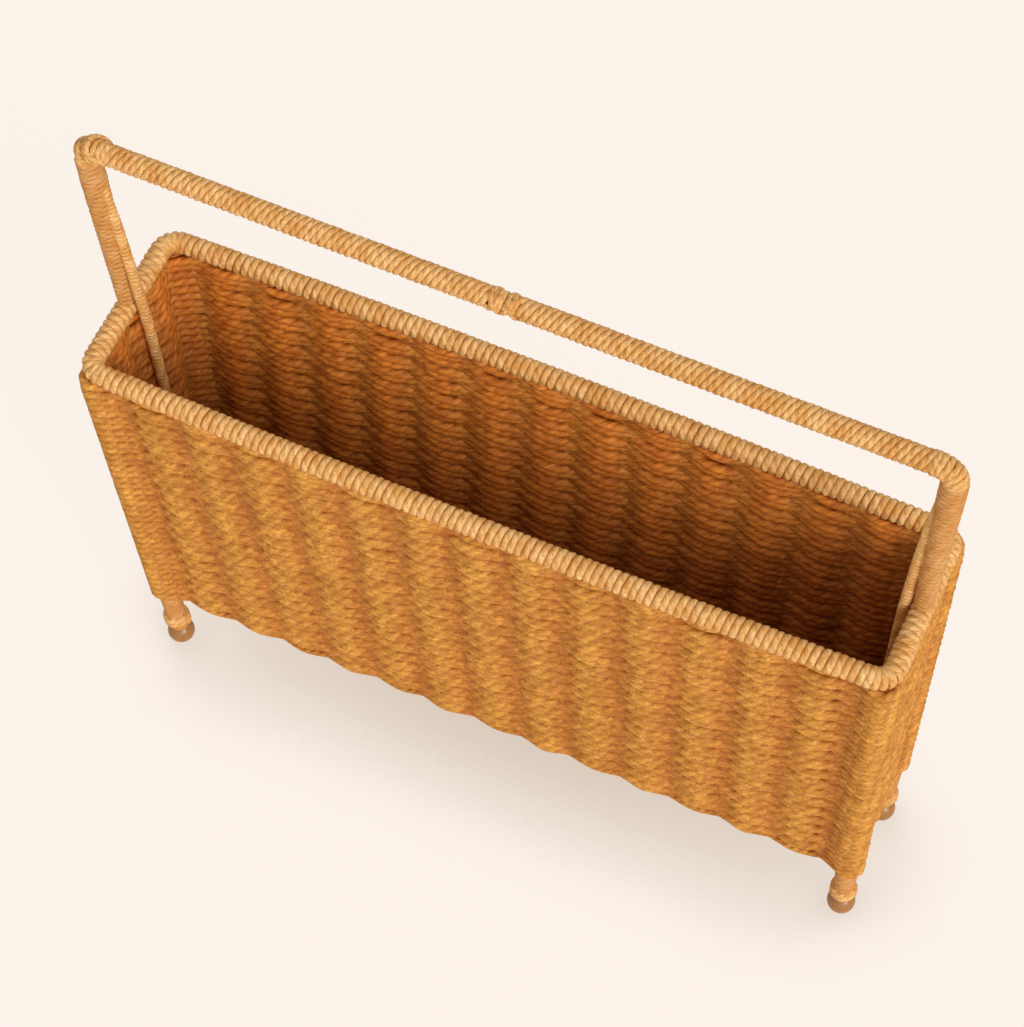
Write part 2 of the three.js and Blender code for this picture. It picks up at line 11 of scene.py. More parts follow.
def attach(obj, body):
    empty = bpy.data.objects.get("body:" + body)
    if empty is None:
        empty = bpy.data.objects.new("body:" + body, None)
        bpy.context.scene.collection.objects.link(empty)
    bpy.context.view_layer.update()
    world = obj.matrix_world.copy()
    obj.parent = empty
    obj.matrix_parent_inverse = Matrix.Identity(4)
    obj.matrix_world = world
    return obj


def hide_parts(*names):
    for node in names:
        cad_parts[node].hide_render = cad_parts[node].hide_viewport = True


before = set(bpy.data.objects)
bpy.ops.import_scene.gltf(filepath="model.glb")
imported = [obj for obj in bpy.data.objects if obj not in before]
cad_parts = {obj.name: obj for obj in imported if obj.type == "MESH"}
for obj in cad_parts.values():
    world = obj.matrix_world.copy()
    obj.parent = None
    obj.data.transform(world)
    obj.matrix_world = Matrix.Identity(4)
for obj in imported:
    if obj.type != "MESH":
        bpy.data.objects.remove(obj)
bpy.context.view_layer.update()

MM = 0.001
UP = np.array([0.0, 0.0, 1.0])
ACROSS = np.array([0.0, 1.0, 0.0])

# The frame's own sizes, the same as in the CAD model.
RIM_HALF_LENGTH = 240.0
RIM_HALF_WIDTH = 49.0
RIM_HEIGHT = 348.0
RIM_CORNER_RADIUS = 10.0
SIDE_BOW = 2.7
STRAIGHT_REACH = 229.0
BAR_HEIGHT = 496.0
HANDLE_HALF_LENGTH = 243.3
HANDLE_BEND_RADIUS = 10.0
UPRIGHT_FOOT_HEIGHT = 351.3
POST_TOP = np.array([237.07, 46.07, 344.7])
POST_FOOT = np.array([233.5, 34.5, 8.4])
STAKE_RADIUS = 2.0
WALL_BOTTOM = 66.0
WALL_TOP = 341.1
LONG_BOW = 5.7
END_BOW = 3.0
LONG_SPACINGS = 14
END_SPACINGS = 4
BASE_HEIGHT = 72.8
BASE_HALF_LENGTH = 227.0
BASE_HALF_WIDTH = 27.0
BASE_ROWS = 11

# The cords, each diameter as it lies in the work. A wound cord is pressed flat against its rod.
# A wrap's size is its diameter over the cord, and a pitch is the room that one turn takes along the rod.
PRESSED = 0.78
RIM_CORD = 4.8
RIM_WRAP = 13.2
RIM_PITCH = 4.45
RIM_CORNER_PITCH = 3.3
BAR_CORD = 4.0
BAR_WRAP = 13.0
BAR_PITCH = 3.95
BAR_STARTS = 4
BEND_WRAP = 14.0
BEND_PITCH = 2.6
SPLICE_WRAP = 12.6
SPLICE_PITCH = 3.9
SPLICE_HALF = 9.0
KNOT_CORD = 3.2
CORNER_KNOT_RADIUS = 7.0
SPLICE_KNOT_RADIUS = 5.3
UPRIGHT_CORD = 4.05
UPRIGHT_PITCH = 4.2
UPRIGHT_WRAPS = (11.4, 15.2)
STAY_CORD = 3.7
STAY_WRAP = 6.8
STAY_PITCH = 3.6
STAY_HEAD = 432.0
STAY_COVER = 34.0
STAY_WALL_OFFSET = 10.4
LEG_CORD = 3.95
LEG_PITCH = 4.1
LEG_BOTTOM = 16.5
LEG_WRAPS = (12.4, 14.8)
POST_WRAP = 10.6
COLLAR_CORD = 4.6
COLLAR_PITCH = 5.2
COLLAR_RADIUS = 6.5
COLLAR_BOTTOM = 23.6
COLLAR_TURNS = 2
BALL_RADIUS = 8.9
WEFT_CORD = 6.1
WEFT_ROWS = 37
WEFT_TOP_ROOM = 6.6
TWINE_CORD = 4.2
TOP_TWINE_CORD = 5.6
TOP_TWINE_DROP = 2.1

# How deep a weft cord sinks into a stake, a twined cord into a stake and any cord into a post's winding,
# and how far the cords of a row spread where they cross a stake.
WEFT_SQUEEZE = 1.3
TWINE_SQUEEZE = 1.4
POST_SQUEEZE = 0.8
WEFT_SPREAD = 1.1

# How uneven the hand work is: a share of the pitch, a share of the reach, and the rest in millimetres.
TURN_DRIFT = 0.12
WRAP_DRIFT = 0.12
REACH_DRIFT = 0.1
HEIGHT_DRIFT = 0.35
HOLLOW_DRIFT = 0.4

# How finely cords and balls are drawn.
CORD_SIDES = 8
WIND_STEPS = 14
CORE_STEP = 0.5
WEFT_STEP = 2.7
KEY_STEPS = 8
LOOP_STEPS = 20
BALL_SEGMENTS = 40
BALL_RINGS = 24

chance = np.random.default_rng(11)


def new_object(name, data):
    made = bpy.data.objects.new(name, data)
    bpy.context.scene.collection.objects.link(made)
    return made


# ---- Camera ----

PHOTO_WIDTH = 1024
PHOTO_HEIGHT = 1027
CAMERA_PLACE = (378.7, -746.7, 1773.8)
CAMERA_TURN = 27.03
CAMERA_TILT = 29.23
CAMERA_ROLL = -2.72
CAMERA_FOCAL_PIXELS = 3008.0
SENSOR = 36.0


def add_camera():
    data = bpy.data.cameras.new("photo_camera")
    data.sensor_width = SENSOR
    data.lens = CAMERA_FOCAL_PIXELS * SENSOR / max(PHOTO_WIDTH, PHOTO_HEIGHT)
    data.clip_end = 100
    camera = new_object("photo_camera", data)
    turn = Matrix.Rotation(math.radians(CAMERA_TURN), 4, "Z")
    tilt = Matrix.Rotation(math.radians(CAMERA_TILT), 4, "X")
    roll = Matrix.Rotation(math.radians(CAMERA_ROLL), 4, "Z")
    camera.matrix_world = Matrix.Translation(Vector(CAMERA_PLACE) * MM) @ turn @ tilt @ roll
    bpy.context.scene.camera = camera


add_camera()


# ---- Materials ----


def linear(hex_colour):
    """An sRGB hex colour as the linear colour that Blender's sockets take."""
    parts = [int(hex_colour[i : i + 2], 16) / 255 for i in (1, 3, 5)]
    turned = [p / 12.92 if p <= 0.04045 else ((p + 0.055) / 1.055) ** 2.4 for p in parts]
    return (*turned, 1.0)


def add_node(tree, kind, inputs=None, **settings):
    """A node with its settings, and each input either linked or set."""
    node = tree.nodes.new(kind)
    for name, value in settings.items():
        setattr(node, name, value)
    for socket, value in (inputs or {}).items():
        if isinstance(value, bpy.types.NodeSocket):
            tree.links.new(value, node.inputs[socket])
        else:
            node.inputs[socket].default_value = value
    return node


def new_material(name):
    material = bpy.data.materials.new(name)
    material.use_nodes = True
    tree = material.node_tree
    tree.nodes.clear()
    output = add_node(tree, "ShaderNodeOutputMaterial")
    return material, tree, output


# The cord is laid from two plies, one lay being 2.5 diameters long. Its fibres show as tufts, so many to
# a lay and round it, which start anew about every millimetre of height. Its tone changes over some
# centimetres. The real fibres are finer than the render shows, so the tufts are drawn coarser.
PLIES = 2
LAY_SHARE = 2.5
TUFTS_PER_LAY = 3.2
TUFTS_ROUND = 1.7
TUFT_ROW = 1.1
TONE_LENGTH = 9.0
PLY_SHADE = 0.24
TUFT_SHADE = 0.42
TUFT_RELIEF = 1.6
CORD_RELIEF = 0.35
# The colour that the cord is multiplied by where its inside value is 1, and by how much: painted shade,
# deeper and more orange.
INSIDE_SHADE_COLOUR = "#ffc67a"
INSIDE_SHADE_SHARE = 0.75


def twisted_cord(name, pale, deep, groove, roughness, sunk):
    """Natural cord twisted from two plies: dull, slightly waxy, in paler and deeper lengths, with short
    fibres along the twist. Its UV map runs once per lay along the cord and once round it. Its exposure
    is 1 where it lies outermost and less where it is sunk between its neighbours, where painted shade
    mixes it towards its groove colour: sunk gives the deepest and the shallowest exposure that this
    reaches, and its strength. Where its inside value is 1 it lies inside the basket, and painted shade
    multiplies it by a deeper, more orange colour."""
    deepest, shallowest, strength = sunk
    material, tree, output = new_material(name)
    uv = add_node(tree, "ShaderNodeUVMap", uv_map="UVMap")
    split = add_node(tree, "ShaderNodeSeparateXYZ", {"Vector": uv.outputs["UV"]})
    place = add_node(tree, "ShaderNodeTexCoord")
    where = add_node(tree, "ShaderNodeSeparateXYZ", {"Vector": place.outputs["Object"]})
    lengths = add_node(
        tree,
        "ShaderNodeTexNoise",
        {"Vector": place.outputs["Object"], "Scale": 1 / (TONE_LENGTH * MM), "Detail": 3.0},
    )
    turn = add_node(
        tree,
        "ShaderNodeMath",
        {0: split.outputs["Y"], 1: 1.0, 2: split.outputs["X"]},
        operation="MULTIPLY_ADD",
    )
    angle = add_node(tree, "ShaderNodeMath", {0: turn.outputs[0], 1: 2 * math.pi}, operation="MULTIPLY")
    plies = add_node(tree, "ShaderNodeMath", {0: angle.outputs[0], 1: float(PLIES)}, operation="MULTIPLY")
    ply = add_node(tree, "ShaderNodeMath", {0: plies.outputs[0]}, operation="SINE")
    row = add_node(
        tree, "ShaderNodeMath", {0: where.outputs["Z"], 1: 1 / (TUFT_ROW * MM)}, operation="MULTIPLY"
    )
    along = add_node(
        tree,
        "ShaderNodeMath",
        {0: split.outputs["X"], 1: TUFTS_PER_LAY, 2: row.outputs[0]},
        operation="MULTIPLY_ADD",
    )
    sine = add_node(tree, "ShaderNodeMath", {0: angle.outputs[0]}, operation="SINE")
    cosine = add_node(tree, "ShaderNodeMath", {0: angle.outputs[0]}, operation="COSINE")
    ring = add_node(
        tree,
        "ShaderNodeCombineXYZ",
        {"X": along.outputs[0], "Y": sine.outputs[0], "Z": cosine.outputs[0]},
    )
    stretch = add_node(
        tree, "ShaderNodeMapping", {"Vector": ring.outputs[0], "Scale": (1.0, TUFTS_ROUND, TUFTS_ROUND)}
    )
    tufts = add_node(
        tree, "ShaderNodeTexNoise", {"Vector": stretch.outputs[0], "Scale": 1.0, "Detail": 1.0}
    )
    tone = add_node(
        tree, "ShaderNodeMapRange", {"Value": lengths.outputs["Fac"], "From Min": 0.36, "From Max": 0.66}
    )
    body = add_node(
        tree,
        "ShaderNodeMix",
        {"Factor": tone.outputs[0], 6: linear(deep), 7: linear(pale)},
        data_type="RGBA",
    )
    meeting = add_node(
        tree,
        "ShaderNodeMapRange",
        {"Value": ply.outputs[0], "From Min": -1.0, "From Max": -0.2, "To Min": PLY_SHADE, "To Max": 0.0},
    )
    fibres = add_node(
        tree,
        "ShaderNodeMapRange",
        {
            "Value": tufts.outputs["Fac"],
            "From Min": 0.34,
            "From Max": 0.62,
            "To Min": TUFT_SHADE,
            "To Max": 0.0,
        },
    )
    dark = add_node(tree, "ShaderNodeMath", {0: meeting.outputs[0], 1: fibres.outputs[0]}, operation="ADD")
    mottled = add_node(
        tree,
        "ShaderNodeMix",
        {"Factor": dark.outputs[0], 6: body.outputs[2], 7: linear(groove)},
        data_type="RGBA",
    )
    # Painted shade: where the exposure is low, in the hollows between cords and against the rod, the colour
    # is mixed towards the groove colour.
    exposure = add_node(tree, "ShaderNodeAttribute", attribute_name="exposure")
    depth = add_node(
        tree,
        "ShaderNodeMapRange",
        {
            "Value": exposure.outputs["Fac"],
            "From Min": deepest,
            "From Max": shallowest,
            "To Min": strength,
            "To Max": 0.0,
        },
    )
    painted_hollow_shade = add_node(
        tree,
        "ShaderNodeMix",
        {"Factor": depth.outputs[0], 6: mottled.outputs[2], 7: linear(groove)},
        data_type="RGBA",
    )
    # Painted shade: inside the basket, and a little on the legs, the colour is multiplied by a deeper orange.
    inside = add_node(tree, "ShaderNodeAttribute", attribute_name="inside")
    inside_shade = add_node(
        tree, "ShaderNodeMath", {0: inside.outputs["Fac"], 1: INSIDE_SHADE_SHARE}, operation="MULTIPLY"
    )
    colour = add_node(
        tree,
        "ShaderNodeMix",
        {"Factor": inside_shade.outputs[0], 6: painted_hollow_shade.outputs[2], 7: linear(INSIDE_SHADE_COLOUR)},
        data_type="RGBA",
        blend_type="MULTIPLY",
    )
    relief = add_node(
        tree,
        "ShaderNodeMath",
        {0: tufts.outputs["Fac"], 1: TUFT_RELIEF, 2: ply.outputs[0]},
        operation="MULTIPLY_ADD",
    )
    bump = add_node(
        tree, "ShaderNodeBump", {"Height": relief.outputs[0], "Distance": CORD_RELIEF * MM, "Strength": 0.7}
    )
    shader = add_node(
        tree,
        "ShaderNodeBsdfPrincipled",
        {"Base Color": colour.outputs[2], "Roughness": roughness, "Normal": bump.outputs[0], "IOR": 1.5},
    )
    tree.links.new(shader.outputs[0], output.inputs["Surface"])
    return material


# The size of the lacquer's orange peel and the width of the beech's growth lines, and how deep each is.
PEEL_SIZE = 2.0
PEEL_RELIEF = 0.05
GROWTH_WIDTH = 1.8
GROWTH_RELIEF = 0.08


def lacquered_steel():
    """Drawn steel rod with a thin brown lacquer: smooth, half gloss, with a slight orange peel."""
    material, tree, output = new_material("lacquered_steel_rod")
    place = add_node(tree, "ShaderNodeTexCoord")
    peel = add_node(
        tree, "ShaderNodeTexNoise", {"Vector": place.outputs["Object"], "Scale": 1 / (PEEL_SIZE * MM)}
    )
    tone = add_node(
        tree,
        "ShaderNodeMix",
        {"Factor": peel.outputs["Fac"], 6: linear("#6b3f17"), 7: linear("#835121")},
        data_type="RGBA",
    )
    bump = add_node(
        tree,
        "ShaderNodeBump",
        {"Height": peel.outputs["Fac"], "Distance": PEEL_RELIEF * MM, "Strength": 0.4},
    )
    shader = add_node(
        tree,
        "ShaderNodeBsdfPrincipled",
        {"Base Color": tone.outputs[2], "Roughness": 0.42, "Normal": bump.outputs[0]},
    )
    tree.links.new(shader.outputs[0], output.inputs["Surface"])
    return material


def stained_beech():
    """Beech turned to a ball, stained warm brown and varnished: fine growth lines under a soft gloss."""
    material, tree, output = new_material("stained_turned_beech")
    place = add_node(tree, "ShaderNodeTexCoord")
    stretch = add_node(
        tree, "ShaderNodeMapping", {"Vector": place.outputs["Object"], "Scale": (1.0, 1.0, 0.16)}
    )
    growth = add_node(
        tree,
        "ShaderNodeTexNoise",
        {"Vector": stretch.outputs[0], "Scale": 1 / (GROWTH_WIDTH * MM), "Detail": 4.0, "Distortion": 0.6},
    )
    tone = add_node(
        tree,
        "ShaderNodeMix",
        {"Factor": growth.outputs["Fac"], 6: linear("#8c5a28"), 7: linear("#b37f41")},
        data_type="RGBA",
    )
    bump = add_node(
        tree,
        "ShaderNodeBump",
        {"Height": growth.outputs["Fac"], "Distance": GROWTH_RELIEF * MM, "Strength": 0.3},
    )
    shader = add_node(
        tree,
        "ShaderNodeBsdfPrincipled",
        {
            "Base Color": tone.outputs[2],
            "Roughness": 0.38,
            "Coat Weight": 0.35,
            "Coat Roughness": 0.2,
            "Normal": bump.outputs[0],
        },
    )
    tree.links.new(shader.outputs[0], output.inputs["Surface"])
    return material


wound_cord = twisted_cord("twisted_cord_wound", "#fdd18c", "#e6ab5c", "#b67125", 0.6, (-0.4, 0.8, 0.5))
woven_cord = twisted_cord("twisted_cord_woven", "#f1b04b", "#cc892b", "#87470d", 0.66, (0.0, 0.9, 0.22))
rod_steel = lacquered_steel()
ball_wood = stained_beech()


# ---- Lines that cords follow ----


def smooth_line(keys, steps, closed=False):
    """Points on a smooth line through the keys, with equal steps between each two."""
    keys = np.asarray(keys, float)
    if closed:
        around = np.concatenate([keys[-1:], keys, keys[:2]])
    else:
        around = np.concatenate([2 * keys[:1] - keys[1:2], keys, 2 * keys[-1:] - keys[-2:-1]])
    share = (np.arange(steps) / steps)[None, :, None]
    a, b, c, d = (around[i : len(around) - 3 + i, None] for i in range(4))
    cubic = (3 * b - a - 3 * c + d) * share**3
    square = (2 * a - 5 * b + 4 * c - d) * share**2
    points = ((cubic + square + (c - a) * share) / 2 + b).reshape(-1, keys.shape[1])
    return points if closed else np.concatenate([points, keys[-1:]])


def run_along(line):
    """How far along the line each of its points is."""
    return np.concatenate([[0], np.cumsum(np.linalg.norm(np.diff(line[:, :3], axis=0), axis=1))])


def points_at(line, run, places):
    return np.stack([np.interp(places, run, line[:, i]) for i in range(line.shape[1])], axis=1)


def evenly(line, step, closed=False):
    """The same line with points a step apart."""
    if closed:
        line = np.concatenate([line, line[:1]])
    run = run_along(line)
    count = max(3, round(run[-1] / step))
    even = points_at(line, run, np.linspace(0, run[-1], count + 1))
    return even[:-1] if closed else even


def drift(count, every, reach):
    """Slow random drift round zero, as hand work has, ending where it starts."""
    knots = max(2, count // every)
    values = chance.uniform(-reach, reach, knots + 1)
    values[-1] = values[0]
    return np.interp(np.linspace(0, knots, count), np.arange(knots + 1), values)


def unit(vectors):
    return vectors / np.linalg.norm(vectors, axis=-1, keepdims=True)


def wound(core, up, radius, pitch, starts=1):
    """The lines of cords wound round a core line, each with its outward directions. Pitch is the room
    that one cord takes along the core. Pitch and radius may each be a number or a function of the places
    along the core."""
    fine = evenly(core, CORE_STEP)
    run = run_along(fine)
    pitches = pitch(fine) if callable(pitch) else np.full(len(fine), pitch)
    turns = np.concatenate([[0], np.cumsum(np.diff(run) / (pitches[1:] * starts))])
    whole = turns[-1]
    count = int(whole * WIND_STEPS)
    at = np.linspace(0, whole, count + 1)
    loose = drift(count + 1, WIND_STEPS * 2, TURN_DRIFT * np.mean(pitches))
    places = np.interp(at, turns, run) + loose
    centre = points_at(fine, run, np.clip(places, 0, run[-1]))
    smooth = points_at(fine, run, np.interp(at, turns, run))
    ahead = unit(np.gradient(smooth, axis=0))
    out = unit(np.cross(ahead, up))
    over = np.cross(out, ahead)
    lines = []
    for start in range(starts):
        angle = 2 * math.pi * (at + start / starts)[:, None]
        plain = radius(smooth) if callable(radius) else radius
        reach = (plain + drift(count + 1, WIND_STEPS, WRAP_DRIFT))[:, None]
        outward = np.cos(angle) * out + np.sin(angle) * over
        lines.append((centre + reach * outward, outward))
    return lines


# ---- Making pieces ----


def finish_piece(piece, material, nodes):
    piece.data.materials.clear()
    piece.data.materials.append(material)
    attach(piece, "root")
    if nodes:
        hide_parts(*nodes)


# How far a cord's thickness drifts from its diameter, as a share, and over how many of its points.
THICKNESS_DRIFT = 0.05
THICKNESS_EVERY = 9


def cord_piece(name, lines, diameter, material, nodes=(), closed=False, inside=0.0, painted_darkening=0.0):
    """Cords of one diameter as one mesh, from curves with a round section. A line that comes with its
    outward directions is pressed flat against what it is wound on. A line with five columns has its
    exposure and its inside value in the last two, which steer the painted shade in its colour. The last
    argument is how much of its exposure a wound cord loses, which paints the whole cord darker as shade."""
    pressed = [line for line in lines if isinstance(line, tuple)]
    lines = [line[0] if isinstance(line, tuple) else line for line in lines]
    curve = bpy.data.curves.new(name, "CURVE")
    curve.dimensions = "3D"
    curve.bevel_depth = diameter / 2 * MM
    curve.bevel_resolution = CORD_SIDES // 2 - 2
    lengths = []
    faces = []
    shades = []
    for line in lines:
        spline = curve.splines.new("POLY")
        spline.points.add(len(line) - 1)
        places = np.ones((len(line), 4))
        places[:, :3] = line[:, :3] * MM
        spline.points.foreach_set("co", places.ravel())
        spline.points.foreach_set("radius", 1 + drift(len(line), THICKNESS_EVERY, THICKNESS_DRIFT))
        spline.use_cyclic_u = closed
        lengths.append(run_along(line)[-1])
        faces.append((len(line) if closed else len(line) - 1) * CORD_SIDES)
        shade = line[:, 3:] if line.shape[1] > 3 else [(1.0, inside)] * len(line)
        shades.append(np.repeat(shade, CORD_SIDES, axis=0))
    holder = new_object(name + "_line", curve)
    mesh = bpy.data.meshes.new_from_object(holder)
    bpy.data.objects.remove(holder)
    mesh.name = name
    shades = np.concatenate(shades)
    if pressed:
        shades[:, 0] = press_flat(mesh, pressed, diameter) - painted_darkening
    for column, name_of_shade in enumerate(("exposure", "inside")):
        attribute = mesh.attributes.new(name_of_shade, "FLOAT", "POINT")
        attribute.data.foreach_set("value", shades[:, column].copy())
    stretch_twist(mesh, np.repeat(lengths, faces) / (LAY_SHARE * diameter))
    solid = bmesh.new()
    solid.from_mesh(mesh)
    if not closed:
        bmesh.ops.holes_fill(solid, edges=[e for e in solid.edges if e.is_boundary], sides=CORD_SIDES)
    for face in solid.faces:
        face.smooth = True
    solid.to_mesh(mesh)
    solid.free()
    finish_piece(new_object(name, mesh), material, nodes)


def press_flat(mesh, lines, diameter):
    """Presses the rings of points round each line together, in the direction away from the rod, and
    gives how far out each point lies: 1 on the outside of the cord, -1 against the rod."""
    middle = np.concatenate([line for line, outward in lines])[:, None]
    outward = np.concatenate([outward for line, outward in lines])[:, None]
    places = np.empty(len(mesh.vertices) * 3)
    mesh.vertices.foreach_get("co", places)
    rings = places.reshape(-1, CORD_SIDES, 3)
    height = np.sum((rings / MM - middle) * outward, axis=2, keepdims=True)
    rings += (PRESSED - 1) * height * outward * MM
    mesh.vertices.foreach_set("co", places)
    return (height / (diameter / 2)).ravel()


def stretch_twist(mesh, lays):
    """Stretches the UV map so that it runs once for each lay of the cord, not once for each cord."""
    layer = mesh.uv_layers[0].data
    places = np.empty(len(layer) * 2)
    layer.foreach_get("uv", places)
    corners = places.reshape(-1, 4, 2)
    corners[:, :, 0] *= np.round(lays)[:, None]
    layer.foreach_set("uv", places)


# ---- Rim ----


# How many points a straight side and a quarter bend are drawn with.
SIDE_POINTS = 60
BEND_POINTS = 13


def rim_corner(x, y, start):
    """A quarter turn of the hoop round a corner's middle, from its first angle in degrees."""
    angles = np.radians(np.linspace(start, start + 90, BEND_POINTS))
    radius = RIM_CORNER_RADIUS
    return [(x + radius * math.cos(a), y + radius * math.sin(a), RIM_HEIGHT) for a in angles]


def rim_line():
    """The hoop's centre line, from the front's left end round by the right."""
    xs = np.linspace(-STRAIGHT_REACH, STRAIGHT_REACH, SIDE_POINTS)
    ys = RIM_HALF_WIDTH + SIDE_BOW * (1 - (xs / STRAIGHT_REACH) ** 2)
    cx = RIM_HALF_LENGTH - RIM_CORNER_RADIUS
    cy = RIM_HALF_WIDTH - RIM_CORNER_RADIUS
    front = [(x, -y, RIM_HEIGHT) for x, y in zip(xs, ys)]
    back = [(-x, y, RIM_HEIGHT) for x, y in zip(xs, ys)]
    right = rim_corner(cx, -cy, -90) + rim_corner(cx, cy, 0)
    left = rim_corner(-cx, cy, 90) + rim_corner(-cx, -cy, 180)
    return np.array(front + right + back + left + front[:1])


def rim_pitch(points):
    """Turns lie close on the straight sides and fan out round the corners."""
    cx = RIM_HALF_LENGTH - RIM_CORNER_RADIUS
    cy = RIM_HALF_WIDTH - RIM_CORNER_RADIUS
    at_corner = (np.abs(points[:, 0]) > cx) & (np.abs(points[:, 1]) > cy)
    return np.where(at_corner, RIM_CORNER_PITCH, RIM_PITCH)


def wrap_radius(outer_diameter, cord):
    """Where the middle of a pressed cord lies for the wrap to have its outer diameter."""
    return outer_diameter / 2 - cord / 2 * PRESSED


def add_rim():
    lines = wound(rim_line(), UP, wrap_radius(RIM_WRAP, RIM_CORD), rim_pitch)
    nodes = ["rim_wrap_front", "rim_wrap_back", "rim_wrap_left", "rim_wrap_right"]
    cord_piece("rim_winding", lines, RIM_CORD, wound_cord, nodes)


# ---- Handle ----


def handle_line():
    """Up the left side, along the bar and down the right side."""
    centre = HANDLE_HALF_LENGTH - HANDLE_BEND_RADIUS
    radius = HANDLE_BEND_RADIUS
    bend = np.radians(np.linspace(0, 90, BEND_POINTS))
    right = [(centre + radius * math.cos(a), 0, BAR_HEIGHT - radius * (1 - math.sin(a))) for a in bend]
    left = [(-x, y, z) for x, y, z in right]
    feet = [(-RIM_HALF_LENGTH, 0, UPRIGHT_FOOT_HEIGHT), (RIM_HALF_LENGTH, 0, UPRIGHT_FOOT_HEIGHT)]
    return np.array([feet[0]] + left + right[::-1] + [feet[1]])


def upright_at(height, side):
    share = (height - UPRIGHT_FOOT_HEIGHT) / (BAR_HEIGHT - UPRIGHT_FOOT_HEIGHT)
    return np.array([side * (RIM_HALF_LENGTH + (HANDLE_HALF_LENGTH - RIM_HALF_LENGTH) * share), 0.0, height])


# The uprights, the legs and the posts are painted darker than the rim and the bar, as shade: their whole cord
# is mixed halfway towards its groove colour.
PAINTED_DARKENING = 1.4

# Where each upright's winding starts above the rim, how far the bar's and the bends' windings run under
# the splice and past the bends, and how many points an upright, a post and the splice are drawn with.
UPRIGHT_START = 4.0
SPLICE_OVERLAP = 2
BEND_UNDER = 2
BEND_PAST = 4
UPRIGHT_POINTS = 28
POST_POINTS = 30
LEG_POINTS = 20
SPLICE_POINTS = 20


def upright_radius(points):
    """The upright's winding is thinner beside the stay and fuller above it, where it covers both."""
    outer = np.interp(points[:, 2], (RIM_HEIGHT, STAY_HEAD + STAY_COVER), UPRIGHT_WRAPS)
    return wrap_radius(outer, UPRIGHT_CORD)


def add_handle():
    line = evenly(handle_line(), 1.0)
    low = BAR_HEIGHT - HANDLE_BEND_RADIUS
    near_end = HANDLE_HALF_LENGTH - HANDLE_BEND_RADIUS
    bar_line = line[(line[:, 2] > BAR_HEIGHT - 0.5) & (np.abs(line[:, 0]) < near_end)]
    for name, side in (("left", -1), ("right", 1)):
        heights = np.linspace(RIM_HEIGHT + UPRIGHT_START, low, UPRIGHT_POINTS)
        upright = np.array([upright_at(z, side) for z in heights])
        cord_piece(
            "upright_winding_" + name,
            wound(upright, ACROSS, upright_radius, UPRIGHT_PITCH),
            UPRIGHT_CORD,
            wound_cord,
            ["handle_upright_wrap_" + name],
            painted_darkening=PAINTED_DARKENING,
        )
        half = bar_line[bar_line[:, 0] * side > SPLICE_HALF - SPLICE_OVERLAP]
        lines = wound(half, ACROSS, wrap_radius(BAR_WRAP, BAR_CORD), BAR_PITCH, starts=BAR_STARTS)
        nodes = ["handle_bar_wrap_" + name]
        cord_piece("bar_winding_" + name, lines, BAR_CORD, wound_cord, nodes)
    for name, side in (("right", 1), ("left", -1)):
        bend = line[(line[:, 2] > low - BEND_UNDER) & (line[:, 0] * side > near_end - BEND_PAST)]
        lines = wound(bend, ACROSS, wrap_radius(BEND_WRAP, BAR_CORD), BEND_PITCH)
        nodes = ["handle_corner_wrap_" + name]
        cord_piece("corner_winding_" + name, lines, BAR_CORD, wound_cord, nodes)
    cord_piece("corner_knot_left", corner_knot(bend), KNOT_CORD, wound_cord)
    bar = np.array([(x, 0.0, BAR_HEIGHT) for x in np.linspace(-SPLICE_HALF, SPLICE_HALF, SPLICE_POINTS)])
    lines = wound(bar, ACROSS, wrap_radius(SPLICE_WRAP, BAR_CORD), SPLICE_PITCH)
    cord_piece("splice_turns", lines, BAR_CORD, wound_cord, ["handle_splice_wrap"])
    cord_piece("splice_knot", splice_loops(), KNOT_CORD, wound_cord)


def tilted_loop(centre, axis, lean, radius):
    """One loop of cord round an axis, leaned over."""
    axis = unit(np.asarray(axis, float))
    side = unit(np.cross(axis, ACROSS if abs(axis[1]) < 0.9 else UP))
    other = np.cross(axis, side)
    angles = np.linspace(0, 2 * math.pi, LOOP_STEPS, endpoint=False)
    points = [
        np.asarray(centre) + radius * (side * math.cos(a) + other * math.sin(a)) + axis * lean * math.cos(a)
        for a in angles
    ]
    return np.array(points + points[:1])


def corner_knot(corner):
    """The bulky tie at the left corner: loops over the winding, leaned different ways."""
    middle = corner[len(corner) // 2]
    along = unit(corner[-1] - corner[0])
    loops = []
    for offset, lean in ((-5.5, 3.5), (-1.8, -3.0), (2.0, 3.2), (5.8, -3.4)):
        loops.append(tilted_loop(middle + along * offset, along, lean, CORNER_KNOT_RADIUS))
    return loops


def splice_loops():
    """Where two lengths of cord meet on the bar: crossed loops over a few plain turns."""
    loops = []
    for offset, lean in ((-6.0, 3.2), (-4.2, -3.4), (1.6, 3.4), (5.4, -3.2)):
        loops.append(tilted_loop((offset, 0.0, BAR_HEIGHT), (1, 0, 0), lean, SPLICE_KNOT_RADIUS))
    return loops


# ---- Stays ----


# Height, and how far the stay's middle is from the upright's middle there.
STAY_KEYS = ((464.0, 3.9), (STAY_HEAD, 6.5), (395.0, 8.2), (361.0, 9.3))

# Height, and how far out the end wall's middle is there.
END_WALL_KEYS = ((328.0, RIM_HALF_LENGTH), (205.0, 237.3), (84.0, 234.3))


def stay_line(side):
    """The stay's centre line: out from under the upright's winding, down beside the upright, behind the
    rim and down the inside of the end wall."""
    keys = [upright_at(z, side) - (side * offset, 0, 0) for z, offset in STAY_KEYS]
    keys += [(side * (reach - STAY_WALL_OFFSET), 0.0, z) for z, reach in END_WALL_KEYS]
    return smooth_line(keys, KEY_STEPS)


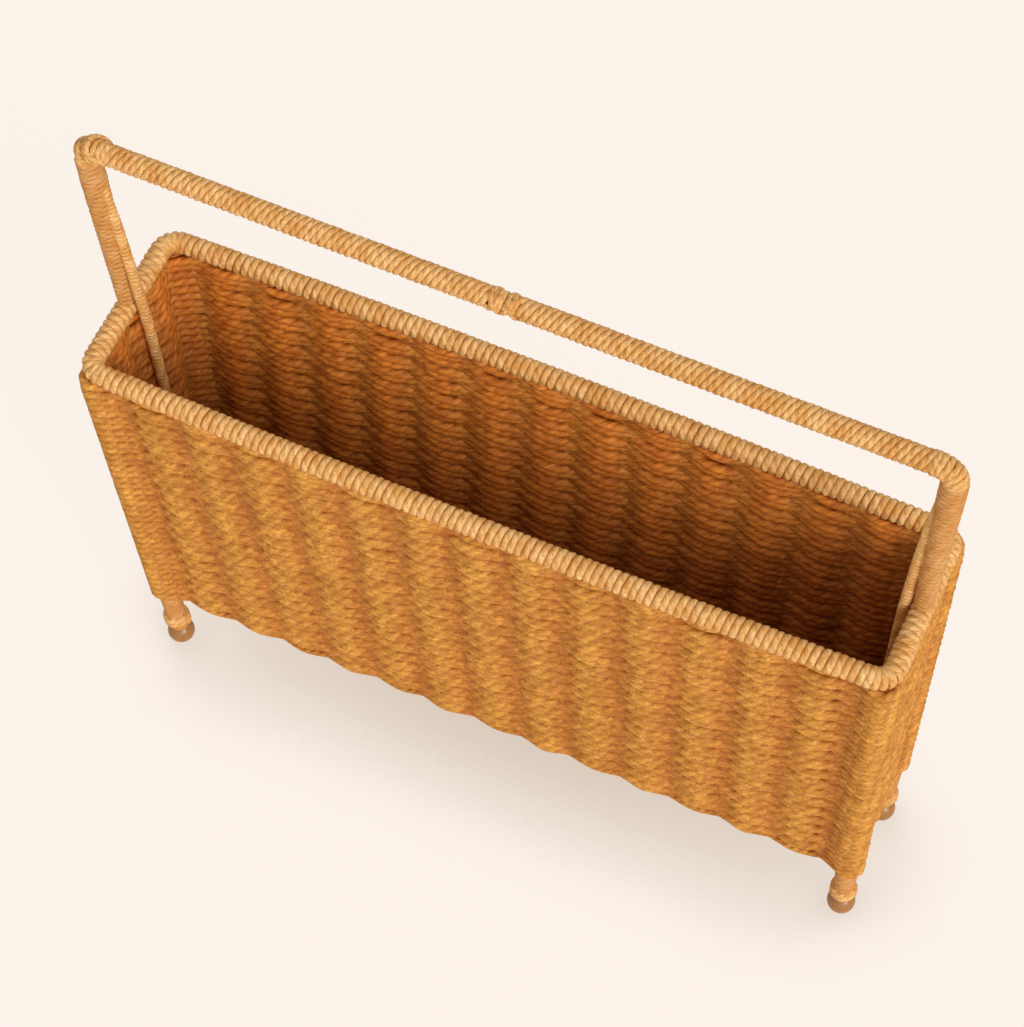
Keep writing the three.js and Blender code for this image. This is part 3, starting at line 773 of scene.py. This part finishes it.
def add_stays():
    for name, side in (("left", -1), ("right", 1)):
        lines = wound(stay_line(side), ACROSS, wrap_radius(STAY_WRAP, STAY_CORD), STAY_PITCH)
        cord_piece(
            "stay_winding_" + name,
            lines,
            STAY_CORD,
            wound_cord,
            ["handle_stay_wrap_" + name, "handle_stay_rod_" + name],
        )


# ---- Woven walls ----


def post_at(height):
    share = (POST_TOP[2] - height) / (POST_TOP[2] - POST_FOOT[2])
    return POST_TOP + (POST_FOOT - POST_TOP) * share


def wall_point(place, height):
    """The middle of the wall and its outward direction, at a place counted in stakes round the basket."""
    post = post_at(height)
    rise = (height - WALL_BOTTOM) / (WALL_TOP - WALL_BOTTOM)
    round_trip = 2 * (LONG_SPACINGS + END_SPACINGS)
    place = place % round_trip
    half = 1 if place < LONG_SPACINGS + END_SPACINGS else -1
    local = place if half > 0 else place - LONG_SPACINGS - END_SPACINGS
    if local <= LONG_SPACINGS:
        share = local / LONG_SPACINGS
        bow = LONG_BOW * rise * 4 * share * (1 - share)
        point = np.array([post[0] * (2 * share - 1), -(post[1] + bow), height])
        out = np.array([0.0, -1.0, 0.0])
    else:
        share = (local - LONG_SPACINGS) / END_SPACINGS
        bow = END_BOW * rise * 4 * share * (1 - share)
        point = np.array([post[0] + bow, post[1] * (2 * share - 1), height])
        out = np.array([1.0, 0.0, 0.0])
    turn = np.array([half, half, 1.0])
    return point * turn, out * turn


def weft_keys(height, phase, cord, inner, squeeze, spread=0.0):
    """One cord of weft round the basket: outside one stake, inside the next. The last two numbers of each
    key are its exposure, 1 where the cord crosses a stake and 0 in the hollow between two, and its inside
    value, 1 where it passes inside a stake; the material paints shade by both, in the hollows and inside.
    Inner is whether the cord passes inside the corner posts, and spread is how far it is pushed up
    where it crosses a stake."""
    round_trip = 2 * (LONG_SPACINGS + END_SPACINGS)
    posts = (0, LONG_SPACINGS, LONG_SPACINGS + END_SPACINGS, round_trip - END_SPACINGS)
    keys = []
    for stake in range(round_trip):
        side = 1 if (stake + phase) % 2 == 0 else -1
        if stake in posts:
            passing = corner_keys(stake, height, cord, inner)
            keys += [np.append(key, (1.0, float(inner))) for key in passing]
        else:
            point, out = wall_point(stake, height)
            uneven = 1 + chance.uniform(-REACH_DRIFT, REACH_DRIFT)
            reach = side * (STAKE_RADIUS + cord / 2 - squeeze) * uneven
            lift = spread + chance.uniform(-HEIGHT_DRIFT, HEIGHT_DRIFT)
            keys.append(np.append(point + out * reach + UP * lift, (1.0, 0.5 - 0.5 * side)))
        point, out = wall_point(stake + 0.5, height)
        sway = chance.uniform(-HOLLOW_DRIFT, HOLLOW_DRIFT)
        lift = chance.uniform(-HEIGHT_DRIFT, HEIGHT_DRIFT)
        keys.append(np.append(point + out * sway + UP * lift, (0.0, 0.5)))
    return keys


def corner_keys(stake, height, cord, inner):
    """The cord's way past a corner post. One cord of each row passes outside it, the other inside."""
    before = wall_point(stake - 0.01, height)[1]
    after = wall_point(stake + 0.01, height)[1]
    centre = post_at(height) * np.append(np.sign(before + after)[:2], 1.0)
    reach = POST_WRAP / 2 + cord / 2 - POST_SQUEEZE
    diagonal = unit(before + after)
    if inner:
        return [centre - diagonal * reach]
    return [centre + before * reach, centre + diagonal * reach, centre + after * reach]


def weft_line(keys):
    return evenly(smooth_line(keys, KEY_STEPS, closed=True), WEFT_STEP, closed=True)


WEFT_NAMES = ("lowest", "lower", "upper", "highest")


def add_walls():
    """Weft in rows of two cords that lie one above the other, drawn as four bands of rows, and a twined
    pair along each edge."""
    panels = ["woven_panel_front", "woven_panel_back", "woven_panel_left", "woven_panel_right"]
    lowest = WALL_BOTTOM + TWINE_CORD + WEFT_CORD / 2
    highest = WALL_TOP - WEFT_TOP_ROOM
    cords = []
    for cord, height in enumerate(np.linspace(lowest, highest, 2 * WEFT_ROWS)):
        inner = cord % 2
        spread = WEFT_SPREAD * (2 * inner - 1)
        cords.append(weft_line(weft_keys(height, cord // 2, WEFT_CORD, inner, WEFT_SQUEEZE, spread)))
    for start, name in enumerate(WEFT_NAMES):
        share = cords[start * len(cords) // len(WEFT_NAMES) : (start + 1) * len(cords) // len(WEFT_NAMES)]
        cord_piece("weft_" + name, share, WEFT_CORD, woven_cord, panels, closed=True)
    for name, height, cord in (
        ("weft_twined_bottom", WALL_BOTTOM + TWINE_CORD / 2, TWINE_CORD),
        ("weft_twined_top", WALL_TOP - TOP_TWINE_DROP, TOP_TWINE_CORD),
    ):
        pair = [weft_line(weft_keys(height, phase, cord, phase, TWINE_SQUEEZE)) for phase in (0, 1)]
        cord_piece(name, pair, cord, woven_cord, closed=True)


def add_base():
    """Rows of weft along the base, over one cross stake and under the next."""
    rows = []
    for row, y in enumerate(np.linspace(-BASE_HALF_WIDTH, BASE_HALF_WIDTH, BASE_ROWS)):
        keys = [(-BASE_HALF_LENGTH, y, BASE_HEIGHT)]
        for stake in range(1, LONG_SPACINGS):
            x = post_at(BASE_HEIGHT)[0] * (2 * stake / LONG_SPACINGS - 1)
            step = post_at(BASE_HEIGHT)[0] / LONG_SPACINGS
            side = 1 if (stake + row) % 2 == 0 else -1
            keys.append((x, y, BASE_HEIGHT + side * (STAKE_RADIUS + WEFT_CORD / 2)))
            keys.append((x + step, y, BASE_HEIGHT))
        keys[-1] = (BASE_HALF_LENGTH, y, BASE_HEIGHT)
        rows.append(evenly(smooth_line(keys, KEY_STEPS), WEFT_STEP))
    cord_piece("base_weft", rows, WEFT_CORD, woven_cord, ["woven_base"])


# ---- Legs ----

CORNERS = (
    ("front_left", -1, -1),
    ("front_right", 1, -1),
    ("back_left", -1, 1),
    ("back_right", 1, 1),
)


# The inside value of the cord on the legs and collars: a little of the inside's painted shade, for the shade
# under the basket.
LEG_SHADE = 0.1

# How far the legs' and the posts' windings run on past the walls' lower and upper edge.
PAST_WALL = 2.0

# Where the leg's winding is at its thinnest.
LEG_THIN = 16.0


def leg_radius(points):
    """The leg's winding is a little fuller where it meets the wall."""
    outer = np.interp(points[:, 2], (LEG_THIN, WALL_BOTTOM), LEG_WRAPS)
    return wrap_radius(outer, LEG_CORD)


def collar_line(turn):
    """Two turns of thicker cord round the leg, just above the foot."""
    points = []
    for i in range(COLLAR_TURNS * LOOP_STEPS + 1):
        angle = 2 * math.pi * i / LOOP_STEPS
        centre = post_at(COLLAR_BOTTOM + COLLAR_PITCH * i / LOOP_STEPS) * turn
        points.append(centre + COLLAR_RADIUS * np.array([math.cos(angle), math.sin(angle), 0.0]))
    return np.array(points)


def add_legs():
    """Each leg is wound from its foot to the wall, and its post on inside the wall up to the rim."""
    for name, sx, sy in CORNERS:
        turn = np.array([sx, sy, 1.0])
        heights = np.linspace(LEG_BOTTOM, WALL_BOTTOM + PAST_WALL, LEG_POINTS)
        leg = np.array([post_at(z) * turn for z in heights])
        cord_piece(
            "leg_winding_" + name,
            wound(leg, ACROSS, leg_radius, LEG_PITCH),
            LEG_CORD,
            wound_cord,
            ["leg_wrap_" + name],
            inside=LEG_SHADE,
            painted_darkening=PAINTED_DARKENING,
        )
        # The post's winding gets the full painted shade of the inside and the same painted darkening as the
        # uprights and legs.
        heights = np.linspace(WALL_BOTTOM, WALL_TOP + PAST_WALL, POST_POINTS)
        post = np.array([post_at(z) * turn for z in heights])
        lines = wound(post, ACROSS, wrap_radius(POST_WRAP, LEG_CORD), LEG_PITCH)
        cord_piece("post_winding_" + name, lines, LEG_CORD, wound_cord, inside=1.0, painted_darkening=PAINTED_DARKENING)
        cord_piece(
            "collar_" + name,
            [collar_line(turn)],
            COLLAR_CORD,
            wound_cord,
            ["leg_collar_" + name],
            inside=LEG_SHADE,
        )
        add_ball(name, post_at(POST_FOOT[2]) * turn)


def add_ball(name, centre):
    """A turned ball, flat where it stands."""
    ball = bmesh.new()
    bmesh.ops.create_uvsphere(
        ball, u_segments=BALL_SEGMENTS, v_segments=BALL_RINGS, radius=BALL_RADIUS * MM
    )
    bmesh.ops.translate(ball, verts=ball.verts, vec=Vector(centre) * MM)
    whole = ball.verts[:] + ball.edges[:] + ball.faces[:]
    cut = bmesh.ops.bisect_plane(
        ball, geom=whole, plane_co=(0, 0, 0), plane_no=(0, 0, -1), clear_outer=True
    )
    edges = [e for e in cut["geom_cut"] if isinstance(e, bmesh.types.BMEdge)]
    bmesh.ops.contextual_create(ball, geom=edges)
    mesh = bpy.data.meshes.new("turned_ball_" + name)
    for face in ball.faces:
        face.smooth = len(face.verts) < 8
    ball.to_mesh(mesh)
    ball.free()
    finish_piece(new_object(mesh.name, mesh), ball_wood, ["ball_foot_" + name])


RODS = ("rim_hoop", "handle_rod", "corner_post", "cross_stake", "end_stake", "handle_stay_rod")


def finish_rods():
    """The rods that stay from the CAD model."""
    for name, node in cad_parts.items():
        if name.startswith(RODS):
            node.data.materials.clear()
            node.data.materials.append(rod_steel)


# ---- Floor and light ----

# Half the floor's side and the reach of the basket's shadow, in metres, how much of the floor's own
# colour the camera sees, and how much paler the shadow is under the ends of the basket.
FLOOR_HALF = 6.0
SHADOW_REACH = 0.11
FLOOR_GLOW = 0.93
END_LIFT = 0.45
BACKGROUND = "#fef5ed"
FLOOR_MATT = "#efe6dd"
SHADOW = "#d8c8b8"

AMBIENT = 0.59
KEY_ENERGY = 1.75
KEY_SPREAD = 30
KEY_TRAVEL = (-0.8, 0.45, -0.55)
KEY_COLOUR = (1.0, 0.97, 0.93)
FILL_ENERGY = 0.4
FILL_SPREAD = 45
FILL_TRAVEL = (-0.3, 0.9, -0.24)
FILL_COLOUR = (1.0, 0.98, 0.95)


def add_stage():
    """A matt off-white floor. To the camera it is mostly its own plain colour, darker only close to the
    basket, and most so under its middle."""
    floor = bmesh.new()
    bmesh.ops.create_grid(floor, x_segments=1, y_segments=1, size=FLOOR_HALF)
    mesh = bpy.data.meshes.new("floor")
    floor.to_mesh(mesh)
    floor.free()
    piece = new_object("floor", mesh)
    material, tree, output = new_material("pale_floor")
    light_path = add_node(tree, "ShaderNodeLightPath")
    matt = add_node(tree, "ShaderNodeBsdfDiffuse", {"Color": linear(FLOOR_MATT)})
    near = add_node(tree, "ShaderNodeAmbientOcclusion", {"Distance": SHADOW_REACH}, samples=16)
    shade = add_node(
        tree, "ShaderNodeMapRange", {"Value": near.outputs["AO"], "From Min": 0.5, "From Max": 0.89}
    )
    steep = add_node(tree, "ShaderNodeMath", {0: shade.outputs[0], 1: 2.0}, operation="POWER")
    place = add_node(tree, "ShaderNodeTexCoord")
    where = add_node(tree, "ShaderNodeSeparateXYZ", {"Vector": place.outputs["Object"]})
    share_out = add_node(
        tree, "ShaderNodeMath", {0: where.outputs["X"], 1: RIM_HALF_LENGTH * MM}, operation="DIVIDE"
    )
    end = add_node(
        tree, "ShaderNodeMath", {0: share_out.outputs[0], 1: share_out.outputs[0]}, operation="MULTIPLY"
    )
    lift = add_node(tree, "ShaderNodeMapRange", {"Value": end.outputs[0], "To Max": END_LIFT})
    light = add_node(tree, "ShaderNodeMapRange", {"Value": steep.outputs[0], "To Min": lift.outputs[0]})
    tone = add_node(
        tree,
        "ShaderNodeMix",
        {"Factor": light.outputs[0], 6: linear(SHADOW), 7: linear(BACKGROUND)},
        data_type="RGBA",
    )
    glow = add_node(tree, "ShaderNodeEmission", {"Color": tone.outputs[2]})
    share = add_node(
        tree, "ShaderNodeMath", {0: light_path.outputs["Is Camera Ray"], 1: FLOOR_GLOW}, operation="MULTIPLY"
    )
    mix = add_node(tree, "ShaderNodeMixShader", {0: share.outputs[0], 1: matt.outputs[0], 2: glow.outputs[0]})
    tree.links.new(mix.outputs[0], output.inputs["Surface"])
    mesh.materials.append(material)


def add_sun(name, energy, spread, travel, colour):
    data = bpy.data.lights.new(name, "SUN")
    data.energy = energy
    data.angle = math.radians(spread)
    data.color = colour
    lamp = new_object(name, data)
    lamp.rotation_euler = Vector(travel).to_track_quat("-Z", "Y").to_euler()


def add_light():
    world = bpy.data.worlds.new("studio")
    bpy.context.scene.world = world
    world.use_nodes = True
    tree = world.node_tree
    tree.nodes.clear()
    light_path = add_node(tree, "ShaderNodeLightPath")
    level = add_node(
        tree,
        "ShaderNodeMapRange",
        {"Value": light_path.outputs["Is Camera Ray"], "To Min": AMBIENT, "To Max": 1.0},
    )
    background = add_node(
        tree, "ShaderNodeBackground", {"Color": linear(BACKGROUND), "Strength": level.outputs[0]}
    )
    output = add_node(tree, "ShaderNodeOutputWorld")
    tree.links.new(background.outputs[0], output.inputs["Surface"])
    add_sun("key_light", KEY_ENERGY, KEY_SPREAD, KEY_TRAVEL, KEY_COLOUR)
    add_sun("fill_light", FILL_ENERGY, FILL_SPREAD, FILL_TRAVEL, FILL_COLOUR)
    bpy.context.scene.view_settings.view_transform = "Standard"


add_rim()
add_handle()
add_stays()
add_walls()
add_base()
add_legs()
finish_rods()
add_stage()
add_light()
